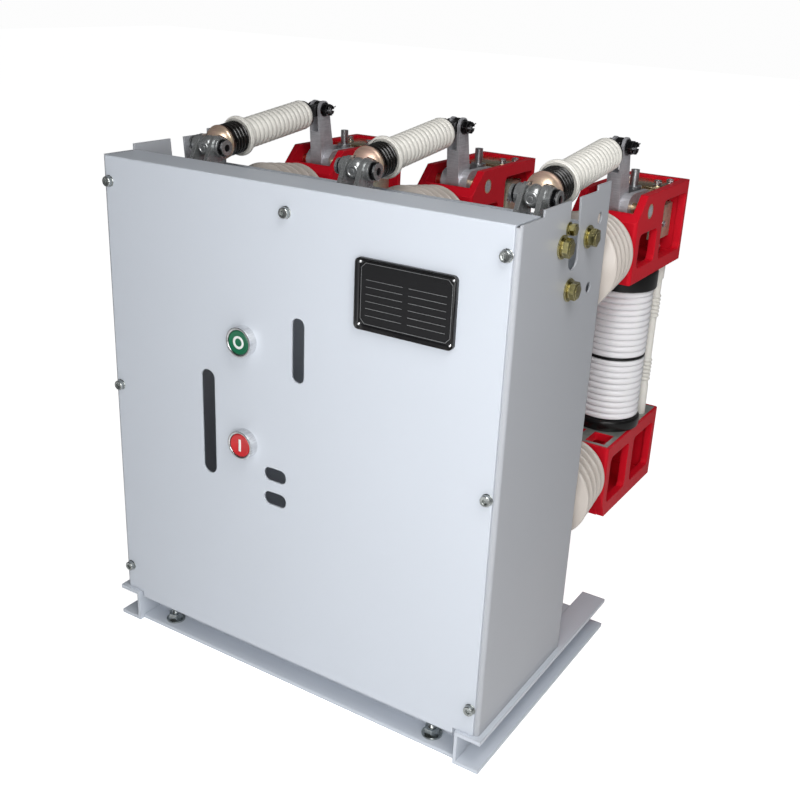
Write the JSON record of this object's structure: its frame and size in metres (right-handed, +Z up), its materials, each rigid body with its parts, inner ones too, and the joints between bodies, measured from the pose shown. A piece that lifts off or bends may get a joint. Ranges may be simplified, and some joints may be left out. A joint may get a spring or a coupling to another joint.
{
  "type": "indoor_vacuum_circuit_breaker",
  "caption": "Indoor medium-voltage vacuum circuit breaker, fixed type: grey spring-mechanism housing in front, three poles behind it on cream insulators with red cast brackets.",
  "frame": {"origin": "centre of the four fixing holes, at the underside of the base", "axes": "+X to the right seen from the front cover, +Y to the back towards the poles, +Z up"},
  "size_m": [0.63, 0.591, 0.7492],
  "materials": {
    "housing_paint": "pale blue-grey gloss paint",
    "red_casting": "red paint on a casting",
    "epoxy": "cream cast epoxy, slightly glossy",
    "ceramic": "white glazed ceramic",
    "rod_epoxy": "cream moulded plastic",
    "black_ring": "black moulded plastic",
    "black_steel": "blackened spring steel",
    "zinc_steel": "zinc-plated steel",
    "yellow_zinc": "yellow passivated zinc plate",
    "chrome_ring": "bright plated ring",
    "button_green": "green moulded plastic",
    "button_red": "red moulded plastic"
  },
  "bodies": {
    "frame": {"base_left_channel": "housing_paint", "base_right_channel": "housing_paint", "base_front_channel": "housing_paint", "base_rear_channel": "housing_paint", "left_side_panel": "housing_paint", "right_side_panel": "housing_paint", "front_cover": "housing_paint", "rear_plate": "housing_paint", "shaft_bearings": "zinc_steel", "button_bezels": "chrome_ring", "interrupter_rings": "black_ring", "stay_rods": "rod_epoxy", "guide_plates": "yellow_zinc", "upper_insulator_left": "epoxy", "lower_insulator_left": "epoxy", "upper_bracket_left": "red_casting", "lower_bracket_left": "red_casting", "interrupter_left": "ceramic", "upper_insulator_middle": "epoxy", "lower_insulator_middle": "epoxy", "upper_bracket_middle": "red_casting", "lower_bracket_middle": "red_casting", "interrupter_middle": "ceramic", "upper_insulator_right": "epoxy", "lower_insulator_right": "epoxy", "upper_bracket_right": "red_casting", "lower_bracket_right": "red_casting", "interrupter_right": "ceramic"},
    "main_shaft": {"main_shaft": "zinc_steel"},
    "open_button": {"open_button": "button_green"},
    "close_button": {"close_button": "button_red"},
    "push_rod_left": {"push_rod_left": "rod_epoxy", "contact_spring_left": "black_steel", "spring_cap_left": "yellow_zinc"},
    "bell_crank_left": {"bell_crank_left": "zinc_steel"},
    "moving_stem_left": {"moving_stem_left": "zinc_steel"},
    "push_rod_middle": {"push_rod_middle": "rod_epoxy", "contact_spring_middle": "black_steel", "spring_cap_middle": "yellow_zinc"},
    "bell_crank_middle": {"bell_crank_middle": "zinc_steel"},
    "moving_stem_middle": {"moving_stem_middle": "zinc_steel"},
    "push_rod_right": {"push_rod_right": "rod_epoxy", "contact_spring_right": "black_steel", "spring_cap_right": "yellow_zinc"},
    "bell_crank_right": {"bell_crank_right": "zinc_steel"},
    "moving_stem_right": {"moving_stem_right": "zinc_steel"}
  },
  "joints": [
    {"name": "main_shaft_turn", "type": "hinge", "parent": "frame", "child": "main_shaft", "pos_m": [0, -0.07476, 0.58005], "axis": [-1, 0, 0], "range_deg": [0, 8.75], "stiffness_Nm_per_rad": 30, "springref_deg": -28.65},
    {"name": "push_rod_pivot_left", "type": "hinge", "parent": "main_shaft", "child": "push_rod_left", "pos_m": [-0.25, -0.0303, 0.70221], "axis": [-1, 0, 0], "range_deg": [-11.03, 0]},
    {"name": "bell_crank_turn_left", "type": "hinge", "parent": "frame", "child": "bell_crank_left", "pos_m": [-0.25, 0.23864, 0.65], "axis": [-1, 0, 0], "range_deg": [0, 11.43]},
    {"name": "stem_slide_left", "type": "slide", "parent": "frame", "child": "moving_stem_left", "axis": [0, 0, -1], "range_m": [0, 0.01105]},
    {"name": "push_rod_pivot_middle", "type": "hinge", "parent": "main_shaft", "child": "push_rod_middle", "pos_m": [0, -0.0303, 0.70221], "axis": [-1, 0, 0], "range_deg": [-11.03, 0]},
    {"name": "bell_crank_turn_middle", "type": "hinge", "parent": "frame", "child": "bell_crank_middle", "pos_m": [0, 0.23864, 0.65], "axis": [-1, 0, 0], "range_deg": [0, 11.43]},
    {"name": "stem_slide_middle", "type": "slide", "parent": "frame", "child": "moving_stem_middle", "axis": [0, 0, -1], "range_m": [0, 0.01105]},
    {"name": "push_rod_pivot_right", "type": "hinge", "parent": "main_shaft", "child": "push_rod_right", "pos_m": [0.25, -0.0303, 0.70221], "axis": [-1, 0, 0], "range_deg": [-11.03, 0]},
    {"name": "bell_crank_turn_right", "type": "hinge", "parent": "frame", "child": "bell_crank_right", "pos_m": [0.25, 0.23864, 0.65], "axis": [-1, 0, 0], "range_deg": [0, 11.43]},
    {"name": "stem_slide_right", "type": "slide", "parent": "frame", "child": "moving_stem_right", "axis": [0, 0, -1], "range_m": [0, 0.01105]},
    {"name": "open_button_press", "type": "slide", "parent": "frame", "child": "open_button", "axis": [0, 1, 0], "range_m": [0, 0.005], "stiffness_N_per_m": 600, "springref_m": -0.006},
    {"name": "close_button_press", "type": "slide", "parent": "frame", "child": "close_button", "axis": [0, 1, 0], "range_m": [0, 0.005], "stiffness_N_per_m": 600, "springref_m": -0.006}
  ],
  "couplings": [
    {"joint": "push_rod_pivot_left", "follows": "main_shaft_turn", "ratio": -1.2545},
    {"joint": "bell_crank_turn_left", "follows": "main_shaft_turn", "ratio": 1.3006},
    {"joint": "stem_slide_left", "follows": "main_shaft_turn", "m_per_rad": 0.072029},
    {"joint": "push_rod_pivot_middle", "follows": "main_shaft_turn", "ratio": -1.2545},
    {"joint": "bell_crank_turn_middle", "follows": "main_shaft_turn", "ratio": 1.3006},
    {"joint": "stem_slide_middle", "follows": "main_shaft_turn", "m_per_rad": 0.072029},
    {"joint": "push_rod_pivot_right", "follows": "main_shaft_turn", "ratio": -1.2545},
    {"joint": "bell_crank_turn_right", "follows": "main_shaft_turn", "ratio": 1.3006},
    {"joint": "stem_slide_right", "follows": "main_shaft_turn", "m_per_rad": 0.072029}
  ]
}
